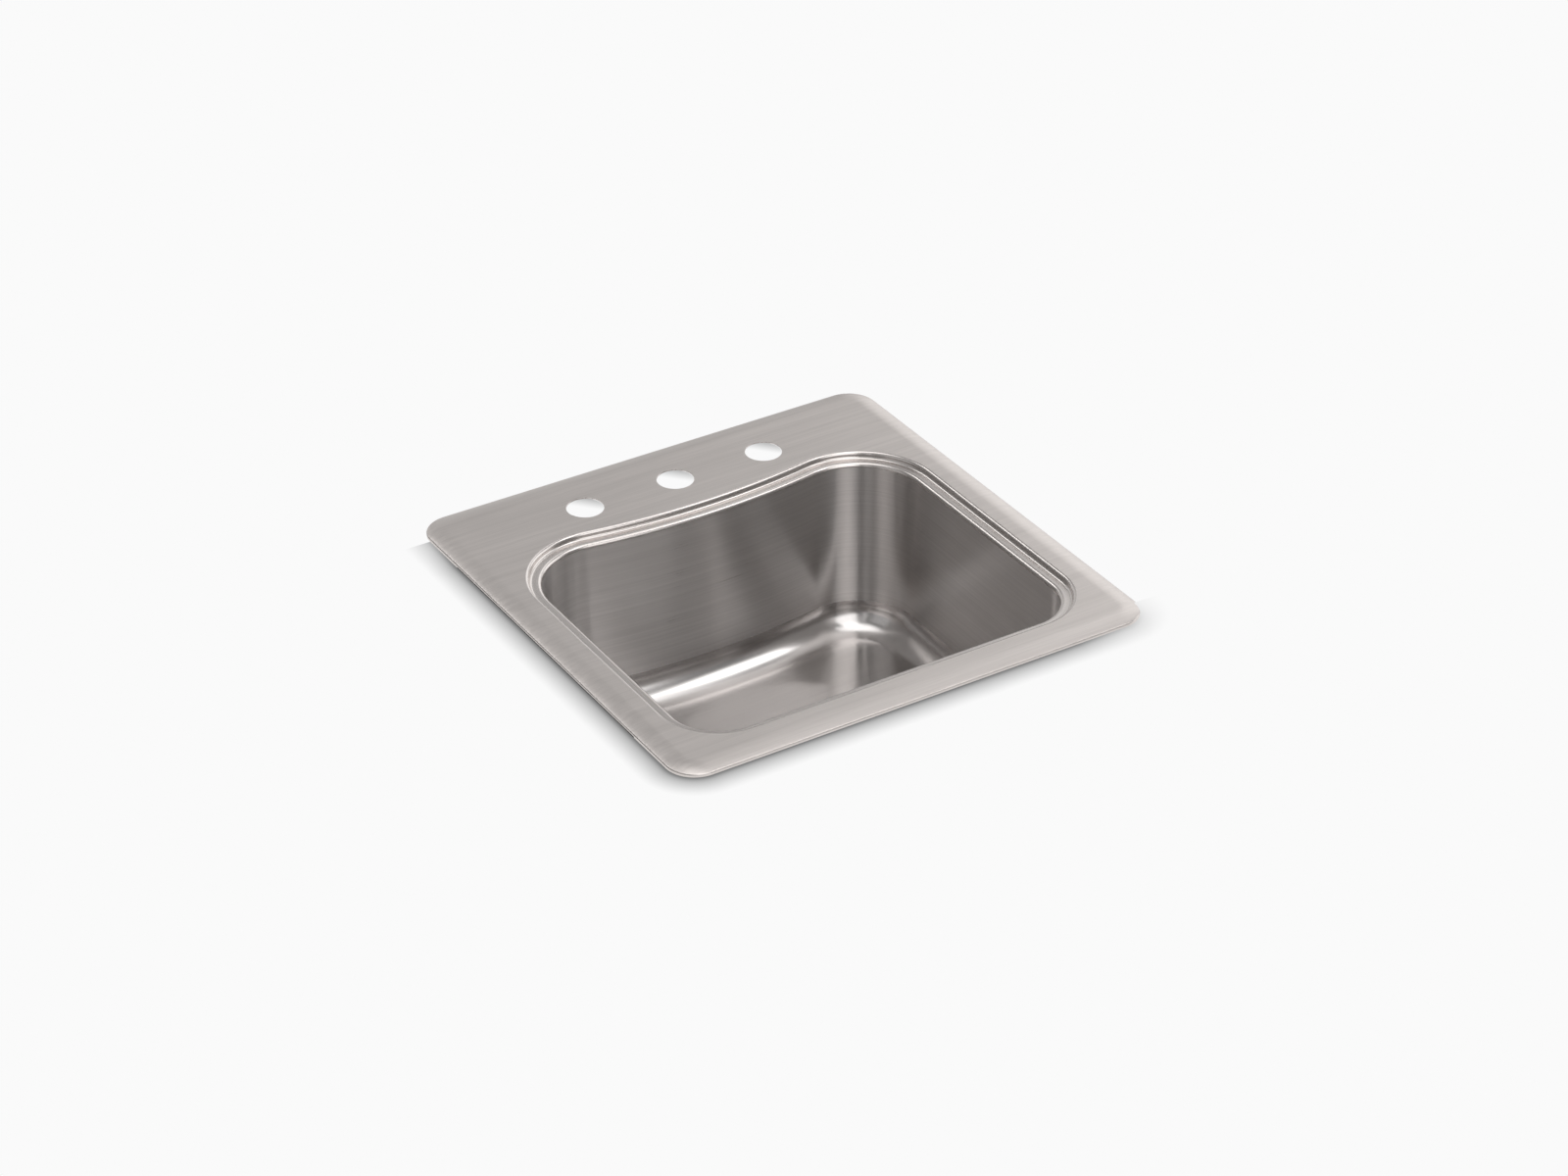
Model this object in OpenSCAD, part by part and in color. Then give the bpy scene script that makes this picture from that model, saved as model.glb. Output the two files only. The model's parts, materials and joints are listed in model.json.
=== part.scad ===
// Drop-in stainless steel sink, one bowl, three faucet holes.
// Origin: centre of the plane that the rim rests on. +Z up, +Y towards the faucet holes.

/* [Rim and deck] */
// Outer width and depth of the square rim
rim_size = 508; // [480:1:560]
// Radius of the rim's corners
rim_corner_r = 30; // [26:1:50]
// Width of the sloping band between the flat deck and the lip
band_w = 20; // [18:1:24]
// Radius of the band's gentle curve
band_r = 57; // [50:1:70]
// Radius of the rolled lip
lip_r = 1.6; // [1.4:0.1:2.4]
// Height of the flat deck above the plane the rim rests on
deck_h = 6.4; // [6:0.1:7]
// Thickness of the steel sheet
sheet = 1.2; // [0.8:0.1:1.2]

/* [Faucet holes] */
// Radius of each faucet hole
hole_r = 18.5; // [15:0.5:19]
// Distance between neighbouring holes
hole_pitch = 101.6; // [90:0.1:110]
// Distance of the holes from the back edge of the rim
hole_setback = 63.5; // [55:0.5:66]

/* [Bowl] */
// Half width of the well, where the deck starts to step down
well_half_w = 222; // [216:0.5:222]
// Front edge of the well
well_front = -219.5; // [-222:0.5:-200]
// Back edge of the well in the middle, where it bulges forward
well_back = 142.5; // [136:0.5:146]
// Radius of the well's back corners
back_r = 84; // [80:1:90]
// Sideways place of the back corners' centres
back_cx = 138; // [130:1:145]
// Front-to-back place of the back corners' centres
back_cy = 70; // [66:1:74]
// Radius of the well's front corners
front_r = 63; // [60:1:80]
// Top radius of the step down to the ledge
step_r = 3.5; // [3:0.1:4]
// Width of the flat ledge round the bowl
ledge_w = 5.1; // [3:0.1:8]
// Radius of the bowl's edge
edge_r = 4; // [3:0.1:6]
// Slope of the bowl's walls from the vertical, in degrees
draft = 1.8; // [0.5:0.1:3]
// Radius between the walls and the floor
floor_r = 30; // [20:1:32]
// Level of the bowl's floor
floor_z = -186; // [-200:1:-150]

/* [Drain] */
// Place of the drain along Y
drain_y = -38; // [-50:1:-30]
// Radius of the dished part of the floor
dish_r = 120; // [100:1:125]
// Fall of the floor across the dish
dish_drop = 4; // [2:0.5:5]
// Radius of the hole in the floor
drain_r = 44.5; // [44:0.1:45]
// Length of the tailpiece
tail_len = 70; // [50:1:150]

/* [Mounting] */
// Length of each mounting rail
rail_len = 300; // [280:1:310]
// Distance of the rails from the middle of the sink
rail_out = 228; // [228:0.1:228.4]
// Distance of each clamp from the middle of its rail
clamp_at = 80; // [70:1:82]
// Level of the clamp dogs' upper face when they are fully lowered
dog_z = -42; // [-44:1:-40]

/* [Hidden] */

$fn = 96;
STEEL = [0.73, 0.71, 0.69];
ZINC = [0.62, 0.63, 0.64];
RUBBER = [0.12, 0.12, 0.12];
FIBRE = [0.45, 0.33, 0.22];
PAD = [0.24, 0.25, 0.26];

half = rim_size / 2;
deck_half = half - band_w;
deck_corner_r = rim_corner_r - band_w;

// Rim band: a large arc that a small lip roll finishes
lip_c = band_w - lip_r;
lip_z = deck_h - band_r + sqrt((band_r - lip_r) ^ 2 - lip_c ^ 2);
lip_a = asin(lip_c / (band_r - lip_r));

// Step, ledge, wall and floor fillet, across the well's edge
step_lower_r = deck_h - step_r;
ledge_u = step_r + step_lower_r;
edge_u = ledge_u + ledge_w;
wall_u = edge_u + edge_r * cos(draft);
wall_z = -edge_r + edge_r * sin(draft);
foot_z = floor_z + floor_r * (1 - sin(draft));
foot_u = wall_u + (wall_z - foot_z) * tan(draft);
fillet_u = round(100 * (foot_u + floor_r * cos(draft))) / 100;
fillet_z = floor_z + floor_r;

// The well's corners, and the bulging back edge: one large arc that meets both back corners
front_cx = well_half_w - front_r;
front_cy = well_front + front_r;
rise = well_back - back_cy;
wave_r = (back_cx ^ 2 + rise ^ 2 - back_r ^ 2) / (2 * (back_r - rise));
wave_cy = well_back + wave_r;
wave_reach = 30;

// Drain stack, heights from the top of the seat that the strainer's flange rests on
seat_drop = 3.5;
seat_r = 58.5;
seat_z = floor_z - dish_drop - seat_drop;
cup_r = 43;
neck_r = 22.5;
neck_end = -58;
fit_gap = 0.06;
gasket_t = 3;
ring_t = 1;
nut_top = -sheet - gasket_t - ring_t;
nut_h = 9;
flange_r = 56.5;
gasket_r = 57;
ring_r = 55;
washer_t = 2;
tail_r = 19.05;
tail_neck_r = 18.6;
tail_bore_r = 17.9;
tail_flange_r = 22.2;
tail_flange_t = 1.5;
coupling_lip = 2;
coupling_h = 14;
coupling_r = 26;
tail_top = neck_end - washer_t;
coupling_low = tail_top - tail_flange_t - coupling_lip;
bar_z = -40;
bar_w = 3;
bar_t = 2.5;

// Basket that hangs in the strainer's throat, heights from the same seat
basket_top = -1.2;
basket_floor = -22;
basket_t = 0.8;
basket_r = 38.6;
basket_wall_top_r = 36;
basket_wall_low_r = 33;
basket_hole_r = 2;
post_r = 3;
post_fit = 0.02;
bar_hole_r = post_r + 0.3;

// Foam seal under the rim, and damping pads on the outside of the bowl
deck_under = deck_h - sheet;
seal_in = 242.5;
seal_w = 7;
seal_h = 2.9;
seal_r = seal_in + seal_w - (deck_half - deck_corner_r);
pad_t = 3;
pad_h = 90;
pad_down = 35;
pad_side_len = 180;
pad_side_y = -45;
pad_front_len = 260;
pad_gap = 0.05;
pad_ring_in = 68;
pad_ring_out = 117;

// Rails and clamps, in the frame of one rail: X out, Y along, Z up
rail_w = 11;
rail_t = 0.9;
rail_low = -9;
slot_w = 5.6;
bolt_r = 2.45;
bolt_head_t = 3;
bolt_end = -50;
bolt_head_w = 8.4;
bolt_head_len = 13;
dog_t = 2.5;
dog_edge = 1.6;
dog_w = 16;
dog_in = 8;
dog_out = 24;
heel_h = 12;
toe_h = 4;
wing_r = 13;
wing_t = 1.8;
nut_hub_r = 5;
nut_hub_h = 4;

far = 2000;

// ---- 2D helpers ----

// Points along an arc, from angle a0 to a1
function arc(centre, r, a0, a1, steps) =
    [for (i = [0:steps]) let (a = a0 + (a1 - a0) * i / steps) centre + r * [cos(a), sin(a)]];

function reversed(points) = [for (i = [len(points) - 1:-1:0]) points[i]];

// The part of a disc that lies between two directions less than 180 degrees apart
module pie(centre, r, from, to) {
    translate(centre) intersection() {
        circle(r);
        polygon([[0, 0], from, from + to, to]);
    }
}

// A rectangle with round corners, centred on the origin
module round_rect(half_w, half_d, r) {
    union() {
        square([2 * half_w, 2 * (half_d - r)], center = true);
        square([2 * (half_w - r), 2 * half_d], center = true);
        for (x = [-1, 1], y = [-1, 1])
            translate([x * (half_w - r), y * (half_d - r)]) circle(r);
    }
}

// The line from a back corner's centre to the wave's centre, where the two arcs meet
to_wave = [-back_cx, wave_cy - back_cy];

// The well's plan, drawn in by d: straight sides and front, arcs at the corners, one wave behind
module well_plan(d) {
    difference() {
        union() {
            polygon([
                [-well_half_w + d, back_cy], [-well_half_w + d, front_cy],
                [-front_cx, front_cy], [-front_cx, well_front + d],
                [front_cx, well_front + d], [front_cx, front_cy],
                [well_half_w - d, front_cy], [well_half_w - d, back_cy],
                [back_cx, back_cy], [0, wave_cy], [-back_cx, back_cy]
            ]);
            for (side = [0, 1]) mirror([side, 0]) {
                pie([front_cx, front_cy], front_r - d, [far, 0], [0, -far]);
                pie([back_cx, back_cy], back_r - d, [far, 0], to_wave);
            }
        }
        translate([0, wave_cy]) circle(wave_r + d, $fn = 720);
    }
}

// One side of the rim band's section, sunk by t below the outer face: X outwards from the flat deck
function band_side(t) = concat(
    arc([0, deck_h - band_r], band_r - t, 90, 90 - lip_a, 6),
    arc([lip_c, lip_z], lip_r - t, 90 - lip_a, 0, 4),
    [[band_w - t, 0]]
);

module band_section() polygon(concat(band_side(0), reversed(band_side(sheet))));

// One side of the bowl's section, sunk by t below the face that shows: X inwards from the well's edge
function bowl_side(t) = concat(
    arc([0, deck_h - step_r], step_r - t, 90, 0, 5),
    arc([ledge_u, step_lower_r], step_lower_r + t, 180, 270, 5),
    arc([edge_u, -edge_r], edge_r - t, 90, draft, 6),
    arc([fillet_u, fillet_z], floor_r + t, 180 + draft, 270, 10)
);

module bowl_section() polygon(concat(bowl_side(0), reversed(bowl_side(sheet))));

// ---- Sink ----

// One straight run of a section, along -Y, with the section's X along X
module straight_run(len) {
    rotate([90, 0, 0]) linear_extrude(len) children();
}

module deck() {
    translate([0, 0, deck_under]) linear_extrude(sheet) difference() {
        round_rect(deck_half, deck_half, deck_corner_r);
        well_plan(0);
        for (i = [-1, 0, 1]) translate([i * hole_pitch, half - hole_setback]) circle(hole_r);
    }
}

module rim_band() {
    run = 2 * (deck_half - deck_corner_r);
    for (a = [0, 90, 180, 270]) rotate(a) {
        translate([deck_half, run / 2, 0]) straight_run(run) band_section();
        translate([run / 2, run / 2, 0])
            rotate_extrude(angle = 90) translate([deck_corner_r, 0]) band_section();
    }
}

// The section swept round part of a corner of radius r, with its X towards the corner's centre
module corner_sweep(r, angle) {
    rotate_extrude(angle = angle) translate([r, 0]) mirror([1, 0]) bowl_section();
}

// Everything above and below a plan shape
module column() {
    translate([0, 0, floor_z - 10]) linear_extrude(deck_h - floor_z + 20) children();
}

module bowl_walls() {
    translate([-front_cx, well_front, 0]) rotate(90) straight_run(2 * front_cx) bowl_section();
    for (side = [0, 1]) mirror([side, 0, 0]) {
        translate([-well_half_w, back_cy, 0]) straight_run(back_cy - front_cy) bowl_section();
        translate([front_cx, front_cy, 0]) rotate(270) corner_sweep(front_r, 90);
        translate([back_cx, back_cy, 0]) intersection() {
            corner_sweep(back_r, 90 + wave_reach);
            column() polygon([[0, 0], [far, 0], [far, far], to_wave]);
        }
    }
    intersection() {
        translate([0, wave_cy, 0]) rotate(270 - wave_reach / 2)
            rotate_extrude(angle = wave_reach, $fn = 720) translate([wave_r, 0]) bowl_section();
        column() polygon([[0, wave_cy], [-back_cx, back_cy], [back_cx, back_cy]]);
    }
}

module bowl_floor() {
    drop = floor_z - dish_drop;
    translate([0, 0, floor_z - sheet]) linear_extrude(sheet) difference() {
        well_plan(fillet_u);
        translate([0, drain_y]) circle(dish_r);
    }
    translate([0, drain_y, 0]) rotate_extrude() polygon([
        [dish_r, floor_z], [seat_r + 1, drop], [seat_r, seat_z], [drain_r, seat_z],
        [drain_r, seat_z - sheet], [seat_r + sheet, seat_z - sheet],
        [seat_r + sheet + 1, drop - sheet], [dish_r, floor_z - sheet]
    ]);
}

module sink_bowl() {
    color(STEEL) {
        deck();
        rim_band();
        bowl_walls();
        bowl_floor();
    }
}

// ---- Seal and pads ----

module rim_seal() {
    color(RUBBER) linear_extrude(seal_h) difference() {
        round_rect(seal_in + seal_w, seal_in + seal_w, seal_r);
        round_rect(seal_in, seal_in, seal_r - seal_w);
    }
}

// A pad on the outside of one straight wall, which leans by the draft
module wall_pad(wall_at, len) {
    color(PAD) translate([wall_at - wall_u, 0, wall_z]) rotate([0, draft, 0])
        translate([sheet + pad_gap, -len / 2, -pad_down - pad_h]) cube([pad_t, len, pad_h]);
}

module pad_right() translate([0, pad_side_y, 0]) wall_pad(well_half_w, pad_side_len);
module pad_left() mirror([1, 0, 0]) pad_right();
module pad_front() rotate(-90) wall_pad(-well_front, pad_front_len);

// A ring that follows the slope of the dished floor from below
module pad_bottom() {
    slope = dish_drop / (dish_r - seat_r - sheet - 1);
    z_out = floor_z - sheet - pad_gap - (dish_r - pad_ring_out) * slope;
    z_in = floor_z - sheet - pad_gap - (dish_r - pad_ring_in) * slope;
    color(PAD) translate([0, drain_y, 0]) rotate_extrude() polygon([
        [pad_ring_in, z_in], [pad_ring_in, z_in - pad_t],
        [pad_ring_out, z_out - pad_t], [pad_ring_out, z_out]
    ]);
}

// ---- Drain ----

module at_drain() translate([0, drain_y, seat_z]) children();

// A ring of square lugs round a nut
module lugs(count, r_in, r_out, w, z, h) {
    for (i = [0:count - 1]) rotate(i * 360 / count)
        translate([r_in, -w / 2, z]) cube([r_out - r_in, w, h]);
}

module strainer_body() {
    color(STEEL) at_drain() {
        rotate_extrude() polygon([
            [flange_r, 0], [flange_r, 0.8], [55, 1.8], [44, 2.3], [41, 1.2], [40, -1.5],
            [39.2, -30], [19, -37], [19, neck_end], [neck_r, neck_end],
            [neck_r, -41], [cup_r - 2, -34], [cup_r, -32], [cup_r, 0]
        ]);
        difference() {
            union() {
                for (a = [0, 90]) rotate(a)
                    translate([-19.5, -bar_w / 2, bar_z]) cube([39, bar_w, bar_t]);
                translate([0, 0, bar_z]) cylinder(r = 2 * bar_w, h = bar_t);
            }
            translate([0, 0, bar_z - 1]) cylinder(r = bar_hole_r, h = bar_t + 2);
        }
    }
}

module drain_gasket() {
    color(RUBBER) at_drain() translate([0, 0, -sheet - gasket_t])
        linear_extrude(gasket_t) difference() {
            circle(gasket_r);
            circle(cup_r + 0.3);
        }
}

module friction_ring() {
    color(FIBRE) at_drain() translate([0, 0, nut_top])
        linear_extrude(ring_t) difference() {
            circle(ring_r);
            circle(cup_r + 0.3);
        }
}

module drain_locknut() {
    color(ZINC) at_drain() difference() {
        union() {
            translate([0, 0, nut_top - nut_h]) cylinder(r = 49, h = nut_h);
            translate([0, 0, nut_top - 2.5]) cylinder(r = 54, h = 2.5);
            lugs(8, 47, 56, 9, nut_top - nut_h, nut_h);
        }
        translate([0, 0, nut_top - nut_h - 1]) cylinder(r = cup_r + fit_gap, h = nut_h + 2);
    }
}

// One ring of holes through the basket's floor
module floor_holes(count, r, turn) {
    for (i = [0:count - 1]) rotate((i + turn) * 360 / count)
        translate([r, 0, basket_floor - 2]) cylinder(r = basket_hole_r, h = 4, $fn = 24);
}

// Perforated cup with a turned-out rim
module basket() {
    low = basket_floor - basket_t;
    color(STEEL) at_drain() difference() {
        rotate_extrude() polygon([
            [basket_r, basket_top], [basket_r, basket_top - basket_t],
            [basket_wall_top_r, basket_top - basket_t], [basket_wall_low_r, low],
            [post_r + post_fit, low], [post_r + post_fit, basket_floor],
            [basket_wall_low_r - 0.6, basket_floor], [basket_wall_top_r - 0.7, basket_top]
        ]);
        floor_holes(8, 12, 0);
        floor_holes(16, 20, 0);
        floor_holes(16, 28, 0.5);
        for (i = [0:23]) rotate(i * 15) translate([30, 0, -12])
            rotate([0, 90, 0]) cylinder(r = basket_hole_r, h = 10, $fn = 24);
    }
}

// Stem through the basket, with the knob that lifts it
module basket_post() {
    color(STEEL) at_drain() rotate_extrude() polygon([
        [0, -46], [2.4, -46], [post_r, -45], [post_r, 6], [6, 7], [8.5, 9], [9, 11],
        [8.5, 13], [6, 14.2], [0, 14.6]
    ]);
}

module basket_stopper() {
    bore = post_r + post_fit;
    color(RUBBER) at_drain() rotate_extrude()
        polygon([[bore, -35], [22, -35], [24, -33], [23, -31.5], [10, -29], [bore, -29]]);
}

module tail_washer() {
    color(RUBBER) at_drain() translate([0, 0, tail_top])
        linear_extrude(washer_t) difference() {
            circle(tail_flange_r - 0.2);
            circle(tail_bore_r + 0.3);
        }
}

// Flanged tube, a little thinner where it passes through the coupling nut
module tailpiece() {
    low = tail_top - tail_len;
    color(STEEL) at_drain() rotate_extrude() polygon([
        [tail_bore_r, tail_top], [tail_bore_r, low], [tail_r, low], [tail_r, coupling_low - 1],
        [tail_neck_r, coupling_low - 1], [tail_neck_r, tail_top - tail_flange_t],
        [tail_flange_r, tail_top - tail_flange_t], [tail_flange_r, tail_top]
    ]);
}

module coupling_nut() {
    color(ZINC) at_drain() difference() {
        union() {
            translate([0, 0, coupling_low]) cylinder(r = coupling_r, h = coupling_h);
            lugs(6, coupling_r - 2, coupling_r + 3, 6, coupling_low, coupling_h - 3);
        }
        translate([0, 0, coupling_low + coupling_lip]) cylinder(r = neck_r + fit_gap, h = coupling_h);
        translate([0, 0, coupling_low - 1]) cylinder(r = tail_r + 0.2, h = coupling_lip + 2);
    }
}

// ---- Mounting rails and clamps ----

// Slotted channel, open downwards, seen along Y
module rail() {
    inner = rail_w - 2 * rail_t;
    color(ZINC) translate([rail_out, rail_len / 2, 0]) straight_run(rail_len) difference() {
        translate([-rail_w / 2, rail_low]) square([rail_w, deck_under - rail_low]);
        translate([-inner / 2, rail_low + rail_t]) square([inner, deck_under - rail_low - 2 * rail_t]);
        translate([-slot_w / 2, rail_low - 1]) square([slot_w, 3]);
    }
}

module rail_right() rail();
module rail_back() rotate(90) rail();
module rail_left() rotate(180) rail();
module rail_front() rotate(270) rail();

// Places a clamp piece: turn picks the rail, along is its place on that rail
module at_clamp(turn, along) rotate(turn) translate([rail_out, along, 0]) children();

// T-bolt: its head slides in the channel, its shank hangs through the slot
module bolt() {
    head_low = rail_low + rail_t + 0.1;
    color(ZINC) {
        translate([-bolt_head_w / 2, -bolt_head_len / 2, head_low])
            cube([bolt_head_w, bolt_head_len, bolt_head_t]);
        translate([0, 0, bolt_end]) cylinder(r = bolt_r, h = head_low - bolt_end);
    }
}

// Dog: flat plate with a toothed toe under the worktop and a heel beside the rail
module dog() {
    tooth = dog_w / 4;
    color(ZINC) difference() {
        union() {
            translate([-dog_in, -dog_w / 2, dog_z - dog_t]) cube([dog_in + dog_out, dog_w, dog_t]);
            translate([-dog_in, -dog_w / 2, dog_z]) cube([dog_edge, dog_w, heel_h]);
            for (i = [0:3]) translate([dog_out - dog_edge, -dog_w / 2 + i * tooth, dog_z])
                rotate([90, 0, 90]) linear_extrude(dog_edge)
                    polygon([[0, 0], [tooth, 0], [tooth / 2, toe_h]]);
        }
        translate([0, 0, dog_z - dog_t - 1]) cylinder(r = bolt_r + 0.3, h = dog_t + 2);
    }
}

// Wing nut under the dog, its wings in line with the rail
module wing_nut() {
    top = dog_z - dog_t - 0.1;
    low = top - nut_hub_h;
    color(ZINC) difference() {
        union() {
            translate([0, 0, low]) cylinder(r = nut_hub_r, h = nut_hub_h);
            rotate([90, 0, 90]) linear_extrude(wing_t, center = true)
                for (side = [0, 1]) mirror([side, 0]) polygon([
                    [3, low], [wing_r, low - 1.5], [wing_r - 1, top - 0.6], [7, top - 0.6], [3, top - 2]
                ]);
        }
        translate([0, 0, low - 3]) cylinder(r = bolt_r + fit_gap, h = nut_hub_h + 5);
    }
}

module clamp_bolt_right_front() at_clamp(0, -clamp_at) bolt();
module clamp_bolt_right_back() at_clamp(0, clamp_at) bolt();
module clamp_bolt_back_right() at_clamp(90, -clamp_at) bolt();
module clamp_bolt_back_left() at_clamp(90, clamp_at) bolt();
module clamp_bolt_left_back() at_clamp(180, -clamp_at) bolt();
module clamp_bolt_left_front() at_clamp(180, clamp_at) bolt();
module clamp_bolt_front_left() at_clamp(270, -clamp_at) bolt();
module clamp_bolt_front_right() at_clamp(270, clamp_at) bolt();

module clamp_dog_right_front() at_clamp(0, -clamp_at) dog();
module clamp_dog_right_back() at_clamp(0, clamp_at) dog();
module clamp_dog_back_right() at_clamp(90, -clamp_at) dog();
module clamp_dog_back_left() at_clamp(90, clamp_at) dog();
module clamp_dog_left_back() at_clamp(180, -clamp_at) dog();
module clamp_dog_left_front() at_clamp(180, clamp_at) dog();
module clamp_dog_front_left() at_clamp(270, -clamp_at) dog();
module clamp_dog_front_right() at_clamp(270, clamp_at) dog();

module clamp_nut_right_front() at_clamp(0, -clamp_at) wing_nut();
module clamp_nut_right_back() at_clamp(0, clamp_at) wing_nut();
module clamp_nut_back_right() at_clamp(90, -clamp_at) wing_nut();
module clamp_nut_back_left() at_clamp(90, clamp_at) wing_nut();
module clamp_nut_left_back() at_clamp(180, -clamp_at) wing_nut();
module clamp_nut_left_front() at_clamp(180, clamp_at) wing_nut();
module clamp_nut_front_left() at_clamp(270, -clamp_at) wing_nut();
module clamp_nut_front_right() at_clamp(270, clamp_at) wing_nut();

sink_bowl();
rim_seal();
rail_left();
rail_right();
rail_front();
rail_back();
pad_left();
pad_right();
pad_front();
pad_bottom();
strainer_body();
drain_gasket();
friction_ring();
drain_locknut();
basket();
basket_post();
basket_stopper();
tail_washer();
coupling_nut();
tailpiece();
clamp_bolt_left_front();
clamp_bolt_left_back();
clamp_bolt_right_front();
clamp_bolt_right_back();
clamp_bolt_front_left();
clamp_bolt_front_right();
clamp_bolt_back_left();
clamp_bolt_back_right();
clamp_dog_left_front();
clamp_dog_left_back();
clamp_dog_right_front();
clamp_dog_right_back();
clamp_dog_front_left();
clamp_dog_front_right();
clamp_dog_back_left();
clamp_dog_back_right();
clamp_nut_left_front();
clamp_nut_left_back();
clamp_nut_right_front();
clamp_nut_right_back();
clamp_nut_front_left();
clamp_nut_front_right();
clamp_nut_back_left();
clamp_nut_back_right();
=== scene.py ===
"""Looks for the drop-in sink.

A smooth sheet-metal bowl, finishes for the CAD pieces that stay, and a white studio.
"""

import json
import math

import bmesh
import bpy
from mathutils import Matrix, Vector
from mathutils.geometry import delaunay_2d_cdt


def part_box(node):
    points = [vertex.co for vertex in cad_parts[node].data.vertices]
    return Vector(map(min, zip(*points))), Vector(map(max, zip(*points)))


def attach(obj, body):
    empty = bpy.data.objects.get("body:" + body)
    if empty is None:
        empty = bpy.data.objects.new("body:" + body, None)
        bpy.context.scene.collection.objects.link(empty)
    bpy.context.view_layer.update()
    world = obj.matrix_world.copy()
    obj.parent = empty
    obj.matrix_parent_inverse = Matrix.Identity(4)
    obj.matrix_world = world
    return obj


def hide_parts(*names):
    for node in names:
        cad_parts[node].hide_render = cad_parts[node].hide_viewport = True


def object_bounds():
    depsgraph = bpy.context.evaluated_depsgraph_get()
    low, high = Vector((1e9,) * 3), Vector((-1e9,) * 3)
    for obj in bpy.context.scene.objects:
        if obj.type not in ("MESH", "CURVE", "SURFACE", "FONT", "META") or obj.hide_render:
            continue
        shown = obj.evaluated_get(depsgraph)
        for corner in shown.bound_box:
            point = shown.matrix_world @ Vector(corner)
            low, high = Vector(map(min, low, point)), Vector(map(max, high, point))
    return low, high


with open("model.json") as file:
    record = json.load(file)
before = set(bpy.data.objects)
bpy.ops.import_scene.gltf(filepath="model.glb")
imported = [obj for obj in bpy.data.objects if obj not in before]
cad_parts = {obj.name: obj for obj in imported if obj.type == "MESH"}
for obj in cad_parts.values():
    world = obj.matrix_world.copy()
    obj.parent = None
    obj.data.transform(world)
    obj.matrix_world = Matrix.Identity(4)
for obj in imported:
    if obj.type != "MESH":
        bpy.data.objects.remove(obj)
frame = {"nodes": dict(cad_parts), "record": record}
cad_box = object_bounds()

# ---- Sizes in metres, in the frame's axes ----

sink_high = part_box("sink_bowl")[1]
mounts = {m["name"]: m for m in frame["record"]["mounts"]}

RIM_HALF = sink_high.x
DECK_TOP = sink_high.z
SHEET = 0.0012
BAND_WIDTH = 0.020
BAND_RADIUS = 0.057
LIP_RADIUS = 0.0016
RIM_CORNER = 0.030
DECK_HALF = RIM_HALF - BAND_WIDTH
DECK_CORNER = RIM_CORNER - BAND_WIDTH

WELL_HALF = 0.222
WELL_FRONT = -0.2195
WELL_BACK = 0.1425
FRONT_CORNER = 0.063
BACK_CORNER = 0.084
BACK_CENTRE = Vector((0.138, 0.070))
STEP_RADIUS = 0.0035
LEDGE_WIDTH = 0.0051
EDGE_RADIUS = 0.004
DRAFT = math.radians(1.8)
FLOOR_RADIUS = 0.030
FLOOR = -0.186

HOLE_RADIUS = mounts["faucet_hole_middle"]["dims"]["r_mm"] / 1000
HOLES = [Vector(mounts[f"faucet_hole_{side}"]["pos_m"][:2]) for side in ("left", "middle", "right")]
HOLE_ROLL = 0.0003
# Where the roll is rounded, as a share of it
HOLE_ROLL_MIDDLE = 0.3
HOLE_STEPS = 64

DRAIN = Vector(mounts["drain_outlet"]["pos_m"][:2])
DISH_RADIUS = 0.120
DISH_DROP = 0.004
SEAT_RADIUS = 0.0585
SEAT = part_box("drain_gasket")[1].z + SHEET
DRAIN_RADIUS = 0.0445
# Where the flat floor eases into the dish: (out from the dish's edge, down)
DISH_EASE = ((0.006, 0), (0, 0.0001), (-0.006, 0.0005))
SEAT_ROLL = 0.0012
SEAT_GAP = 0.0005
# The lower face goes out round the step, from this far below the dish, over this height
STEP_START = 0.0004
STEP_HEIGHT = 0.002

# Points of the sheet that are nearer than this become one, and of a flat plate than this
WELD = 2e-6
PLATE_WELD = 1e-7
# Edges that turn by more degrees than this are sharp
SHARP = 38

# Derived: where each arc of the bowl's section stands, measured inwards from the well's edge
STEP_FOOT = DECK_TOP - STEP_RADIUS
LEDGE = STEP_RADIUS + STEP_FOOT
EDGE = LEDGE + LEDGE_WIDTH
WALL = EDGE + EDGE_RADIUS * math.cos(DRAFT)
WALL_TOP = -EDGE_RADIUS * (1 - math.sin(DRAFT))
FOOT = FLOOR + FLOOR_RADIUS * (1 - math.sin(DRAFT))
FILLET = WALL + (WALL_TOP - FOOT) * math.tan(DRAFT) + FLOOR_RADIUS * math.cos(DRAFT)
FRONT_CENTRE = Vector((WELL_HALF - FRONT_CORNER, WELL_FRONT + FRONT_CORNER))
RISE = WELL_BACK - BACK_CENTRE.y
WAVE_RADIUS = (BACK_CENTRE.x**2 + RISE**2 - BACK_CORNER**2) / (2 * (BACK_CORNER - RISE))
WAVE_CENTRE = WELL_BACK + WAVE_RADIUS
WAVE_ANGLE = math.atan2(BACK_CENTRE.x, WAVE_CENTRE - BACK_CENTRE.y)


# ---- Plan curves ----

def arc(centre, radius, start, end, steps):
    """Points along an arc, with both ends."""
    points = []
    for i in range(steps + 1):
        a = start + (end - start) * i / steps
        points.append(Vector((centre[0] + radius * math.cos(a), centre[1] + radius * math.sin(a))))
    return points


def straight(start, end, steps):
    """Points along a line, with both ends."""
    return [Vector(start).lerp(Vector(end), i / steps) for i in range(steps + 1)]


def closed(runs):
    """Joins runs that meet end to end into one closed loop, each meeting point once."""
    return [p for run in runs for p in run[:-1]]


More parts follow.
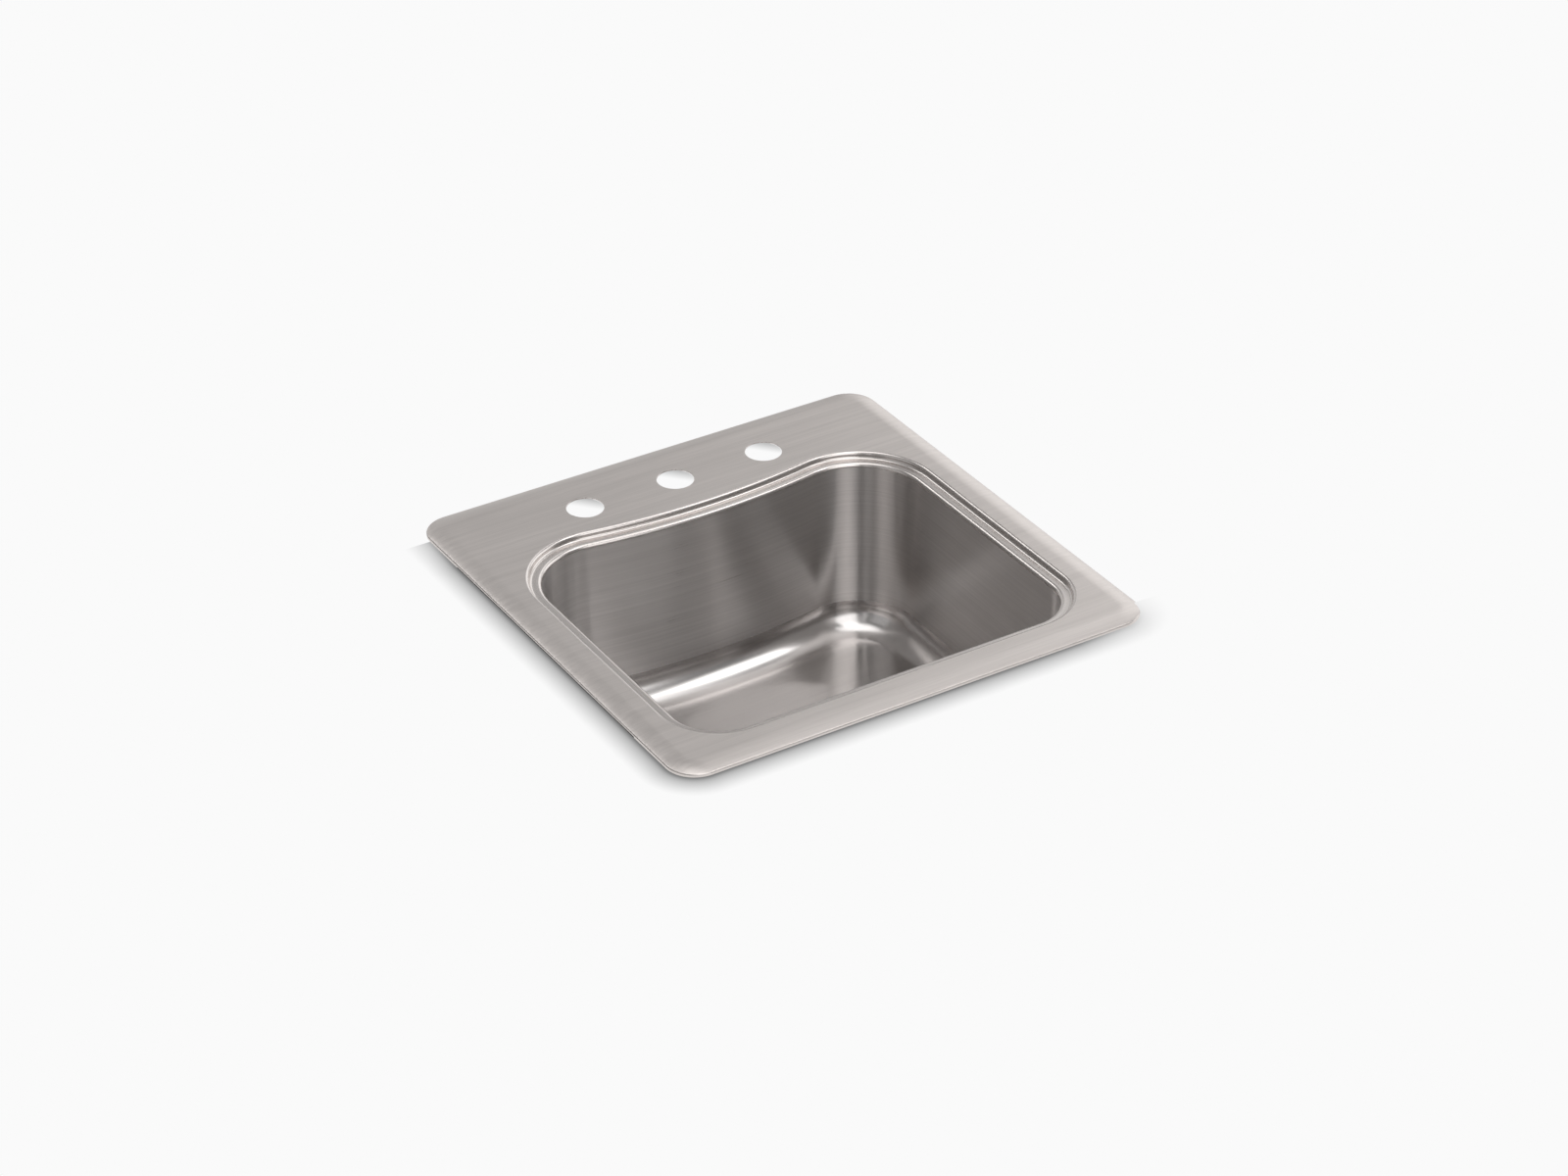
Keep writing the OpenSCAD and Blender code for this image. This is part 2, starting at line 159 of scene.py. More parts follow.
def well_loop(inset):
    """The well's plan, drawn in by inset, anticlockwise from the middle of the front."""
    side = WELL_HALF - inset
    right = [
        straight((0, WELL_FRONT + inset), (FRONT_CENTRE.x, WELL_FRONT + inset), 16),
        arc(FRONT_CENTRE, FRONT_CORNER - inset, -math.pi / 2, 0, 28),
        straight((side, FRONT_CENTRE.y), (side, BACK_CENTRE.y), 22),
        arc(BACK_CENTRE, BACK_CORNER - inset, 0, math.pi / 2 + WAVE_ANGLE, 44),
        arc((0, WAVE_CENTRE), WAVE_RADIUS + inset, 1.5 * math.pi + WAVE_ANGLE, 1.5 * math.pi, 24),
    ]
    left = [[Vector((-p.x, p.y)) for p in reversed(run)] for run in reversed(right)]
    return closed(right + left)


def rim_loop(outset):
    """The rim's plan, a square with round corners, outset from the flat deck, anticlockwise."""
    reach, radius = DECK_HALF - DECK_CORNER, DECK_CORNER + outset
    runs = []
    for turn in range(4):
        side = straight((reach + radius, -reach), (reach + radius, reach), 8)
        corner = arc((reach, reach), radius, 0, math.pi / 2, 20)
        for run in (side, corner):
            for _ in range(turn):
                run = [Vector((-p.y, p.x)) for p in run]
            runs.append(run)
    return closed(runs)


def circle(centre, radius, steps):
    return arc(centre, radius, 0, 2 * math.pi, steps)[:-1]


# ---- Sections: (distance across, height) from the deck outwards and inwards ----

def band_section(depth):
    """The rim band's face, sunk by depth below the outer one: a wide arc, then the rolled lip."""
    across = BAND_WIDTH - LIP_RADIUS
    angle = math.asin(across / (BAND_RADIUS - LIP_RADIUS))
    lip_height = DECK_TOP - BAND_RADIUS + math.sqrt((BAND_RADIUS - LIP_RADIUS) ** 2 - across**2)
    up = math.pi / 2
    wide = arc((0, DECK_TOP - BAND_RADIUS), BAND_RADIUS - depth, up, up - angle, 16)
    lip = arc((across, lip_height), LIP_RADIUS - depth, up - angle, 0, 8)
    return wide + lip[1:] + straight(lip[-1], (BAND_WIDTH - depth, 0), 3)[1:]


def bowl_section(depth):
    """The bowl's face, sunk by depth below the one that shows, as (part, points) runs."""
    up = math.pi / 2
    step = arc((0, DECK_TOP - STEP_RADIUS), STEP_RADIUS - depth, up, 0, 8)
    foot = arc((LEDGE, STEP_FOOT), STEP_FOOT + depth, 2 * up, 3 * up, 8)
    edge = arc((EDGE, -EDGE_RADIUS), EDGE_RADIUS - depth, up, DRAFT, 12)
    fillet = arc((FILLET, FLOOR + FLOOR_RADIUS), FLOOR_RADIUS + depth, 2 * up + DRAFT, 3 * up, 24)
    wall = straight(edge[-1], fillet[0], 20)
    return [("rim", step + foot[1:] + edge), ("wall", wall), ("floor", fillet)]


def drain_section(depth):
    """The dished floor's face as (radius from the drain, height): slope, step down and seat."""
    low = FLOOR - DISH_DROP
    step_at = SEAT_RADIUS + SEAT_GAP
    slope = [Vector((DISH_RADIUS + out, FLOOR - down)) for out, down in DISH_EASE]
    over = arc((step_at + SEAT_ROLL, low - SEAT_ROLL), SEAT_ROLL, math.pi / 2, math.pi, 6)
    under = arc((step_at - SEAT_ROLL, SEAT + SEAT_ROLL), SEAT_ROLL, 0, -math.pi / 2, 6)
    points = slope + over + under + [Vector((DRAIN_RADIUS, SEAT))]
    if depth:
        for p in points:
            p.x += depth * min(1, max(0, (low - STEP_START - p.y) / STEP_HEIGHT))
            p.y -= depth
        points[-1].x = DRAIN_RADIUS
    return points


# ---- Mesh building ----

class Sheet:
    """Collects faces, each corner with a grain coordinate, and welds them into one mesh."""

    def __init__(self):
        self.mesh = bmesh.new()
        self.grain = self.mesh.loops.layers.uv.new("grain")

    def face(self, corners, grain, slot):
        verts = [self.mesh.verts.new(c) for c in corners]
        face = self.mesh.faces.new(verts)
        face.smooth = True
        face.material_index = slot
        for loop, uv in zip(face.loops, grain):
            loop[self.grain].uv = uv

    def strip(self, outer, inner, slot, up, grain=None):
        """A ring of quads between two loops; grain is (along, across outer, across inner)."""
        for i in range(len(outer)):
            j = (i + 1) % len(outer)
            corners = [outer[i], outer[j], inner[j], inner[i]]
            if grain:
                along, v_outer, v_inner = grain
                across = (v_outer, v_outer, v_inner, v_inner)
                uvs = [(along[k], v) for k, v in zip((i, i + 1, i + 1, i), across)]
            else:
                uvs = [(c[0], c[1]) for c in corners]
            if not up:
                corners.reverse()
                uvs.reverse()
            self.face(corners, uvs, slot)

    def plate(self, loops, height, keep, slot, up):
        """A flat plate bounded by loops, of the triangles whose middles pass keep()."""
        points, edges = [], []
        for loop in loops:
            first = len(points)
            points += loop
            edges += [(first + i, first + (i + 1) % len(loop)) for i in range(len(loop))]
        verts, _, triangles, *_ = delaunay_2d_cdt(points, edges, [], 0, PLATE_WELD)
        for triangle in triangles:
            corners = [verts[i] for i in triangle]
            if keep(sum(corners, Vector((0, 0))) / 3):
                area = (corners[1] - corners[0]).cross(corners[2] - corners[0])
                if (area > 0) != up:
                    corners.reverse()
                self.face(lift(corners, height), [tuple(c) for c in corners], slot)

    def finish(self, name, materials):
        """The mesh as an object in the scene, its shading held flat on the big flat faces."""
        bmesh.ops.remove_doubles(self.mesh, verts=self.mesh.verts, dist=WELD)
        data = bpy.data.meshes.new(name)
        self.mesh.to_mesh(data)
        self.mesh.free()
        for material in materials:
            data.materials.append(material)
        data.set_sharp_from_angle(angle=math.radians(SHARP))
        piece = bpy.data.objects.new(name, data)
        bpy.context.scene.collection.objects.link(piece)
        level = piece.modifiers.new("level", "WEIGHTED_NORMAL")
        level.keep_sharp = True
        return piece


def lift(loop, height):
    """A plan's points at one height."""
    return [(p[0], p[1], height) for p in loop]


def lengths(loop):
    """Distance travelled at each point of a closed loop, and once more at its end."""
    total, out = 0.0, [0.0]
    for i in range(len(loop)):
        total += (Vector(loop[(i + 1) % len(loop)]) - Vector(loop[i])).length
        out.append(total)
    return out


def inside(point, loop):
    """True if a closed loop goes round a point."""
    odd = False
    for i in range(len(loop)):
        a, b = loop[i - 1], loop[i]
        if (a[1] > point[1]) != (b[1] > point[1]):
            if point[0] < a[0] + (b[0] - a[0]) * (point[1] - a[1]) / (b[1] - a[1]):
                odd = not odd
    return odd


def round_drain(loop, radius):
    """The point at radius from the drain's middle in the direction of each point of a loop."""
    return [DRAIN + (p - DRAIN).normalized() * radius for p in loop]


DECK_SLOT, RIM_SLOT, WALL_SLOT, FLOOR_SLOT, UNDER_SLOT = range(5)


def sink_face(sheet, depth):
    """One face of the sheet, upper for depth 0 and lower for the sheet's thickness."""
    upper = depth == 0
    slots = {"rim": RIM_SLOT, "wall": WALL_SLOT, "floor": FLOOR_SLOT} if upper else {}
    deck_slot = DECK_SLOT if upper else UNDER_SLOT
    rings = [lift(rim_loop(p.x), p.y) for p in band_section(depth)]
    for inner, outer in zip(rings, rings[1:]):
        sheet.strip(outer, inner, deck_slot, upper)

    edge = well_loop(0)
    rim = rim_loop(0)
    openings = [edge] + [circle(h, HOLE_RADIUS + HOLE_ROLL, HOLE_STEPS) for h in HOLES]

    def on_deck(point):
        return inside(point, rim) and not any(inside(point, opening) for opening in openings)

    sheet.plate([rim, *openings], DECK_TOP - depth, on_deck, deck_slot, upper)

    along = lengths(well_loop(WALL))
    across = 0.0
    for part, points in bowl_section(depth):
        slot = slots.get(part, UNDER_SLOT)
        for a, b in zip(points, points[1:]):
            step = (b - a).length
            grain = None if part == "floor" else (along, across, across + step)
            sheet.strip(lift(well_loop(a.x), a.y), lift(well_loop(b.x), b.y), slot, upper, grain)
            across += step

    base = well_loop(FILLET)
    drain = drain_section(depth)
    slot = slots.get("floor", UNDER_SLOT)
    rings = [lift(base, FLOOR - depth)] + [lift(round_drain(base, p.x), p.y) for p in drain]
    for outer, inner in zip(rings, rings[1:]):
        sheet.strip(outer, inner, slot, upper)


def sink_edges(sheet):
    """The sheet's cut edges: the lip's foot, the holes' rolled edges and the drain hole."""
    feet = [band_section(depth)[-1] for depth in (0, SHEET)]
    outer, inner = [lift(rim_loop(p.x), p.y) for p in feet]
    sheet.strip(outer, inner, UNDER_SLOT, False)
    low = DECK_TOP - SHEET
    section = [
        (HOLE_RADIUS + HOLE_ROLL, DECK_TOP),
        (HOLE_RADIUS + HOLE_ROLL * HOLE_ROLL_MIDDLE, DECK_TOP - HOLE_ROLL * HOLE_ROLL_MIDDLE),
        (HOLE_RADIUS, DECK_TOP - HOLE_ROLL),
        (HOLE_RADIUS, low + HOLE_ROLL),
        (HOLE_RADIUS + HOLE_ROLL, low),
    ]
    for hole in HOLES:
        rings = [lift(circle(hole, r, HOLE_STEPS), z) for r, z in section]
        for a, b in zip(rings, rings[1:]):
            sheet.strip(a, b, RIM_SLOT, True)
    drain = round_drain(well_loop(FILLET), DRAIN_RADIUS)
    drain_low = drain_section(SHEET)[-1].y
    sheet.strip(lift(drain, SEAT), lift(drain, drain_low), UNDER_SLOT, True)


# ---- Materials ----

class Nodes:
    """A material and short ways to add and join its nodes."""

    def __init__(self, name):
        self.material = bpy.data.materials.new(name)
        self.material.use_nodes = True
        self.tree = self.material.node_tree
        self.shader = self.tree.nodes["Principled BSDF"]

    def add(self, kind, inputs=None, **settings):
        node = self.tree.nodes.new(kind)
        for key, value in settings.items():
            setattr(node, key, value)
        for key, value in (inputs or {}).items():
            self.plug(value, node.inputs[key])
        return node

    def plug(self, value, socket):
        if isinstance(value, bpy.types.NodeSocket):
            self.tree.links.new(value, socket)
        else:
            socket.default_value = value

    def set(self, **inputs):
        """Sets the shader's own sockets, with _ for each space in their names."""
        for key, value in inputs.items():
            self.plug(value, self.shader.inputs[key.replace("_", " ")])

    def place(self, source, scale):
        """Stretched coordinates: the object's own, or a named grain map."""
        if source == "object":
            out = self.add("ShaderNodeTexCoord").outputs["Object"]
        else:
            out = self.add("ShaderNodeUVMap", uv_map=source).outputs["UV"]
        return self.add("ShaderNodeMapping", {"Vector": out, "Scale": scale}).outputs["Vector"]

    def noise(self, where, scale=1.0, detail=2.0, rough=0.5):
        inputs = {"Vector": where, "Scale": scale, "Detail": detail, "Roughness": rough}
        return self.add("ShaderNodeTexNoise", inputs).outputs["Fac"]

    def ramp(self, value, low, high, out_low=0.0, out_high=1.0):
        inputs = {"Value": value, "From Min": low, "From Max": high}
        inputs |= {"To Min": out_low, "To Max": out_high}
        return self.add("ShaderNodeMapRange", inputs).outputs["Result"]

    def sum(self, a, b):
        return self.add("ShaderNodeMath", {0: a, 1: b}, operation="ADD").outputs[0]

    def mix(self, share, a, b):
        node = self.add("ShaderNodeMix", data_type="RGBA")
        self.plug(share, node.inputs["Factor"])
        self.plug(a, node.inputs[6])
        self.plug(b, node.inputs[7])
        return node.outputs[2]

    def bump(self, height, strength, distance):
        inputs = {"Height": height, "Strength": strength, "Distance": distance}
        return self.add("ShaderNodeBump", inputs).outputs["Normal"]


def rgb(r, g, b):
    return (r, g, b, 1.0)


# The brushed grain: how much coarser its second layer is, and where both layers' sum ranges
COARSE_GRAIN = 0.23
GRAIN_RANGE = (0.7, 1.3)
# A quarter turn of the shader's highlight, so that it is drawn out across the grain
ACROSS_GRAIN = 0.25
# The faint clouds in the steel's roughness
CLOUD_SCALE = (9, 9, 9)
CLOUD_ROUGH = 0.015


def brushed_steel(name, dark, light, rough, anisotropy, source, scale, grain_depth):
    """Steel with a brushed grain: fine lines along the map's U, which blur what it mirrors."""
    n = Nodes(name)
    fine = n.noise(n.place(source, scale), 1.0, 3.0, 0.6)
    coarse = n.noise(n.place(source, [s * COARSE_GRAIN for s in scale]), 1.0, 2.0, 0.5)
    cloud = n.noise(n.place("object", CLOUD_SCALE), 1.0, 2.0, 0.5)
    lines = n.sum(fine, coarse)
    line_rough = n.ramp(lines, *GRAIN_RANGE, rough * 0.95, rough * 1.05)
    cloud_rough = n.ramp(cloud, 0.3, 0.7, -CLOUD_ROUGH, CLOUD_ROUGH)
    n.set(
        Base_Color=n.mix(n.ramp(lines, *GRAIN_RANGE), rgb(*dark), rgb(*light)),
        Metallic=1.0,
        Roughness=n.sum(line_rough, cloud_rough),
        Anisotropic=anisotropy,
        Anisotropic_Rotation=ACROSS_GRAIN,
        Tangent=n.add("ShaderNodeTangent", direction_type="UV_MAP", uv_map="grain").outputs[0],
        Normal=n.bump(lines, 0.025 * grain_depth, 0.0004),
    )
    return n.material


def speckled_metal(name, dark, light, rough, scale, bump, cells=False):
    """Plated or cast metal: blotches or crystal cells that vary its colour and gloss."""
    n = Nodes(name)
    where = n.place("object", (scale, scale, scale))
    if cells:
        crystals = n.add("ShaderNodeTexVoronoi", {"Vector": where, "Scale": 1.0}, feature="F1")
        crystals = n.add("ShaderNodeSeparateColor", {"Color": crystals.outputs["Color"]})
        pattern = crystals.outputs["Red"]
    else:
        pattern = n.noise(where, 1.0, 5.0, 0.65)
    n.set(
        Base_Color=n.mix(n.ramp(pattern, 0.25, 0.75), rgb(*dark), rgb(*light)),
        Metallic=1.0,
        Roughness=n.ramp(pattern, 0.2, 0.8, rough * 0.8, rough * 1.25),
        Normal=n.bump(n.noise(where, 3.0, 3.0), bump, 0.0003),
    )
    return n.material


def matt_solid(name, dark, light, rough, scale, bump):
    """Rubber, foam, fibre or pad: a matt body with a mottled colour and a fine surface."""
    n = Nodes(name)
    where = n.place("object", (scale, scale, scale))
    spots = n.noise(where, 1.0, 4.0, 0.6)
    n.set(
        Base_Color=n.mix(n.ramp(spots, 0.3, 0.7), rgb(*dark), rgb(*light)),
        Roughness=n.ramp(spots, 0.2, 0.8, rough - 0.08, rough + 0.08),
        Specular_IOR_Level=0.35,
        Normal=n.bump(spots, bump, 0.0004),
    )
    return n.material


# The sheet's five finishes in the order of its slots: name, darker and lighter tone, roughness,
# anisotropy, what the grain follows, its scale and its depth
SHEET_STEELS = [
    ("deck_steel", (0.575, 0.537, 0.515), (0.655, 0.612, 0.588),
     0.34, 0.75, "object", (14, 900, 900), 0.8),
    ("rolled_steel", (0.60, 0.561, 0.538), (0.68, 0.640, 0.618),
     0.27, 0.4, "grain", (8, 900, 900), 0.15),
    ("wall_steel", (0.560, 0.538, 0.527), (0.650, 0.625, 0.612),
     0.30, 0.97, "grain", (9, 1500, 1500), 0.15),
    ("floor_steel", (0.590, 0.567, 0.556), (0.640, 0.615, 0.603),
     0.21, 0.4, "object", (9, 700, 700), 0.15),
    ("under_steel", (0.50, 0.475, 0.46), (0.60, 0.57, 0.55),
     0.42, 0.3, "object", (60, 90, 60), 0.6),
]

# The record's slots: darker and lighter tone, roughness, how fine the pattern is (per metre),
# bump, and for crystal cells instead of blotches True
METALS = {
    "drain_steel": ((0.58, 0.57, 0.56), (0.66, 0.65, 0.64), 0.16, 300, 0.05),
    "tube_steel": ((0.62, 0.62, 0.62), (0.70, 0.70, 0.70), 0.08, 120, 0.02),
    "galvanised_steel": ((0.42, 0.44, 0.46), (0.58, 0.60, 0.62), 0.36, 160, 0.06, True),
    "zinc_plated": ((0.50, 0.51, 0.52), (0.62, 0.62, 0.60), 0.26, 220, 0.08),
    "cast_zinc": ((0.38, 0.39, 0.40), (0.50, 0.51, 0.52), 0.45, 500, 0.25),
}
MATT_SOLIDS = {
    "black_rubber": ((0.012, 0.012, 0.012), (0.03, 0.03, 0.03), 0.55, 400, 0.15),
    "fibre": ((0.16, 0.10, 0.05), (0.30, 0.20, 0.11), 0.8, 700, 0.3),
    "seal_foam": ((0.02, 0.02, 0.022), (0.05, 0.05, 0.055), 0.9, 900, 0.6),
    "damping_pad": ((0.035, 0.037, 0.04), (0.07, 0.073, 0.078), 0.75, 220, 0.5),
}


# ---- The object ----

def build_sink():
    """The sink as one closed sheet, in place of its CAD solid."""
    sheet = Sheet()
    sink_face(sheet, 0)
    sink_face(sheet, SHEET)
    sink_edges(sheet)
    piece = sheet.finish("sink_shell", [brushed_steel(*steel) for steel in SHEET_STEELS])
    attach(piece, "sink")
    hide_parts("sink_bowl")


def finish_cad_nodes():
    """Gives each CAD node that stays the finish of its slot."""
    finishes = {slot: speckled_metal(slot, *look) for slot, look in METALS.items()}
    finishes |= {slot: matt_solid(slot, *look) for slot, look in MATT_SOLIDS.items()}
    for part in frame["record"]["subparts"]:
        node, slot = frame["nodes"][part["node"]], part["material_slot"]
        if slot in finishes:
            node.data.materials.clear()
            node.data.materials.append(finishes[slot])


# ---- Stage and camera ----

# The backdrop's brightness
WHITE = 0.956

# The camera, fitted to the rim's edges and the holes
EYE = Vector((-1.6326, -2.6537, 1.9550))
YAW, PITCH, ROLL = math.radians(-31.715), math.radians(32.347), math.radians(-0.236)
LENS = 89.0


def add_camera():
    """The photograph's view: from the left of the front, a long lens well above the rim."""
    data = bpy.data.cameras.new("camera")
    data.sensor_width = 36
    data.lens = LENS
    data.clip_end = 100
    camera = bpy.data.objects.new("camera", data)
    flat = math.cos(PITCH)
    back = Vector((math.sin(YAW) * flat, -math.cos(YAW) * flat, math.sin(PITCH)))
    level = Vector((math.cos(YAW), math.sin(YAW), 0))
    upright = back.cross(level)
    right = level * math.cos(ROLL) + upright * math.sin(ROLL)
    up = upright * math.cos(ROLL) - level * math.sin(ROLL)
    camera.matrix_world = Matrix.Translation(EYE) @ Matrix((right, up, back)).transposed().to_4x4()
    bpy.context.scene.collection.objects.link(camera)
    bpy.context.scene.camera = camera


def only_seen(thing):
    """Keeps a stage object out of reflections, shadows and bounced light."""
    thing.visible_glossy = thing.visible_diffuse = thing.visible_shadow = False
    thing.visible_transmission = False
    bpy.context.scene.collection.objects.link(thing)


def shade_paint(name):
    """A glow as strong as the mesh's shade attribute says, and clear from behind."""
    n = Nodes(name)
    n.tree.nodes.remove(n.shader)
    shade = n.add("ShaderNodeAttribute", attribute_name="shade").outputs["Fac"]
    glow = n.add("ShaderNodeEmission", {"Color": rgb(1, 1, 1), "Strength": shade})
    behind = n.add("ShaderNodeNewGeometry").outputs["Backfacing"]
    clear = n.add("ShaderNodeBsdfTransparent")
    face = n.add("ShaderNodeMixShader", {"Fac": behind, 1: glow.outputs[0], 2: clear.outputs[0]})
    n.plug(face.outputs[0], n.tree.nodes["Material Output"].inputs["Surface"])
    return n.material


def painted_mesh(name, points, faces, shades):
    """A stage object of plain glowing faces, with a brightness for each point."""
    data = bpy.data.meshes.new(name)
    data.from_pydata(points, [], faces)
    layer = data.attributes.new("shade", "FLOAT", "POINT")
    for i, shade in enumerate(shades):
        layer.data[i].value = shade
    data.materials.append(shade_paint(name))
    only_seen(bpy.data.objects.new(name, data))


def disc_faces(rings, count):
    """Faces of a disc whose points are its middle, then each ring from the inside out."""
    faces = []
    for k in range(count):
        j = (k + 1) % count
        faces.append((0, 1 + k, 1 + j))
        for ring in range(rings - 1):
            a, b = 1 + ring * count + k, 1 + ring * count + j
            faces.append((a, a + count, b + count, b))
    return faces


# How far from the eye the cards stand, as a share of the way to what they hide
CARD_AT = 0.16
# How far past the lip the card hides things
CARD_REACH = 0.7

# The painted contact shadow: depth and width of its soft edge and of the line at the lip, and its
# limit
SOFT_SHADOW, SOFT_WIDTH, SOFT_FALL = 0.66, 0.028, 1.25
LINE_SHADOW, LINE_WIDTH = 0.16, 0.004
DARKEST = 0.8
# Distances from the lip at which it is painted
SHADOW_GAPS = [
    0, 0.001, 0.002, 0.003, 0.0045, 0.0065, 0.009, 0.012, 0.016, 0.020, 0.024, 0.028, 0.034
]
# The shadow fades out over these lengths, at the back left and at the front right
FADE_BACK, FADE_RIGHT = 0.06, 0.10
FADE_PAST_RIGHT = 0.004
FADE_POWER = 0.6

HOLE_CARD_RINGS, HOLE_CARD_STEPS = 7, 48
# The hole cards' painted shade, darker toward the hole's far edge where the deck would shade the
# worktop: the way that it grows, where it starts on that way as a share of the hole's radius, how
# fast it grows, and its depth at the hole's edge
HOLE_SHADE_WAY = Vector((0.75, 0.66))
HOLE_SHADE_START = 0.1
HOLE_SHADE_GROWTH = 1.1
HOLE_SHADE = 0.5


def to_card(x, y, z=0.0):
    """The place on the cards' layer that hides a point from the camera."""
    return EYE + (Vector((x, y, z)) - EYE) * CARD_AT


def contact_shade(gap, strength):
    """The worktop's brightness at a distance from the lip, with the contact shadow painted in."""
    soft = SOFT_SHADOW * max(0.0, 1 - gap / SOFT_WIDTH) ** SOFT_FALL
    line = LINE_SHADOW * math.exp(-((gap / LINE_WIDTH) ** 2))
    return WHITE * (1 - strength * min(DARKEST, soft + line))


def contact_strength(p):
    """The contact shadow fades out at the rim's back left and front right corners."""
    left = min(1.0, max(0.0, (RIM_HALF - p.y) / FADE_BACK))
    right = min(1.0, max(0.0, (RIM_HALF + FADE_PAST_RIGHT - p.x) / FADE_RIGHT))
    return (left * right) ** FADE_POWER


def nearest(loop, x, y):
    """The number of a loop's point that is nearest to a place."""
    return min(range(len(loop)), key=lambda i: (loop[i] - Vector((x, y))).length)


def add_card():
    """A white card before the camera, in place of the worktop in the photograph.

    It hides from the main camera alone what a worktop would hide from it: all below the rim
    outside the lip, along the left and the front.
    """
    lip = rim_loop(BAND_WIDTH)
    side = RIM_HALF - RIM_CORNER
    start = nearest(lip, -RIM_HALF, side)
    path = lip[start:] + lip[:start]
    path = path[: nearest(path, RIM_HALF, -side) + 1]
    points, shades, faces = [], [], []
    for i, p in enumerate(path):
        a, b = path[max(i - 1, 0)], path[min(i + 1, len(path) - 1)]
        out = Vector(((b - a).y, -(b - a).x)).normalized()
        # Painted contact shadow: each point's glow darkens near the lip
        strength = contact_strength(p)
        points += [to_card(*(p + out * gap)) for gap in [*SHADOW_GAPS, CARD_REACH]]
        shades += [contact_shade(gap, strength) for gap in SHADOW_GAPS] + [WHITE]
    row = len(SHADOW_GAPS) + 1
    for i in range(len(path) - 1):
        for k in range(row - 1):
            a = i * row + k
            faces.append((a, a + 1, a + row + 1, a + row))
    painted_mesh("stage_card", points, faces, shades)


def add_hole_cards():
    """Small cards in the same layer for what shows through the faucet holes."""
    low = DECK_TOP - SHEET
    for number, hole in enumerate(HOLES):
        view = Vector((hole.x, hole.y, low)) - EYE
        # How far the camera sees the hole's upper edge shifted against its lower one
        shift = Vector((view.x, view.y)) * (SHEET / -view.z)
        points, shades = [to_card(hole.x, hole.y, low)], [WHITE]
        for ring in range(1, HOLE_CARD_RINGS + 1):
            for k in range(HOLE_CARD_STEPS):
                a = 2 * math.pi * k / HOLE_CARD_STEPS
                d = Vector((math.cos(a), math.sin(a)))
                along = shift.dot(d)
                spare = along**2 - shift.length_squared + HOLE_RADIUS**2
                to_upper = along + math.sqrt(max(0, spare))
                reach = min(HOLE_RADIUS, to_upper) * ring / HOLE_CARD_RINGS
                p = hole + d * reach
                points.append(to_card(p.x, p.y, low))
                # Painted shade: the card's glow darkens toward the hole's far edge
                toward = d.dot(HOLE_SHADE_WAY) * reach / HOLE_RADIUS
                shaded = max(0.0, (toward - HOLE_SHADE_START) / (1 - HOLE_SHADE_START))
                shades.append(WHITE * (1 - HOLE_SHADE * shaded**HOLE_SHADE_GROWTH))
        faces = disc_faces(HOLE_CARD_RINGS, HOLE_CARD_STEPS)
        painted_mesh(f"stage_hole_card_{number}", points, faces, shades)


# Softboxes round the object: middle and half width in degrees of azimuth (0 in front, 90 to
# the right), middle and half height in degrees of elevation, softness of the edge, brightness
SOFTBOXES = [
    ("front", 355, 24, 42, 30, 2, 1.5),
    ("slit", 315, 2.5, 30, 30, 1.5, 0.9),
    ("left", 275, 24, 22, 32, 4, 0.3),
    ("back_left", 199, 12, 46, 10, 3, 2.4),
    ("back", 176, 26, 14, 22, 8, 0.5),
    ("right_back", 127, 16, 28, 26, 8, 1.2),
    ("right", 80, 24, 16, 22, 6, 1.3),
    ("front_right", 56, 20, 54, 10, 5, 3.0),
    ("overhead", 0, 180, 90, 24, 8, 1.6),
    ("worktop", 0, 180, -60, 50, 10, 0.9),
]
# How bright the room is between them
AMBIENT = 0.22


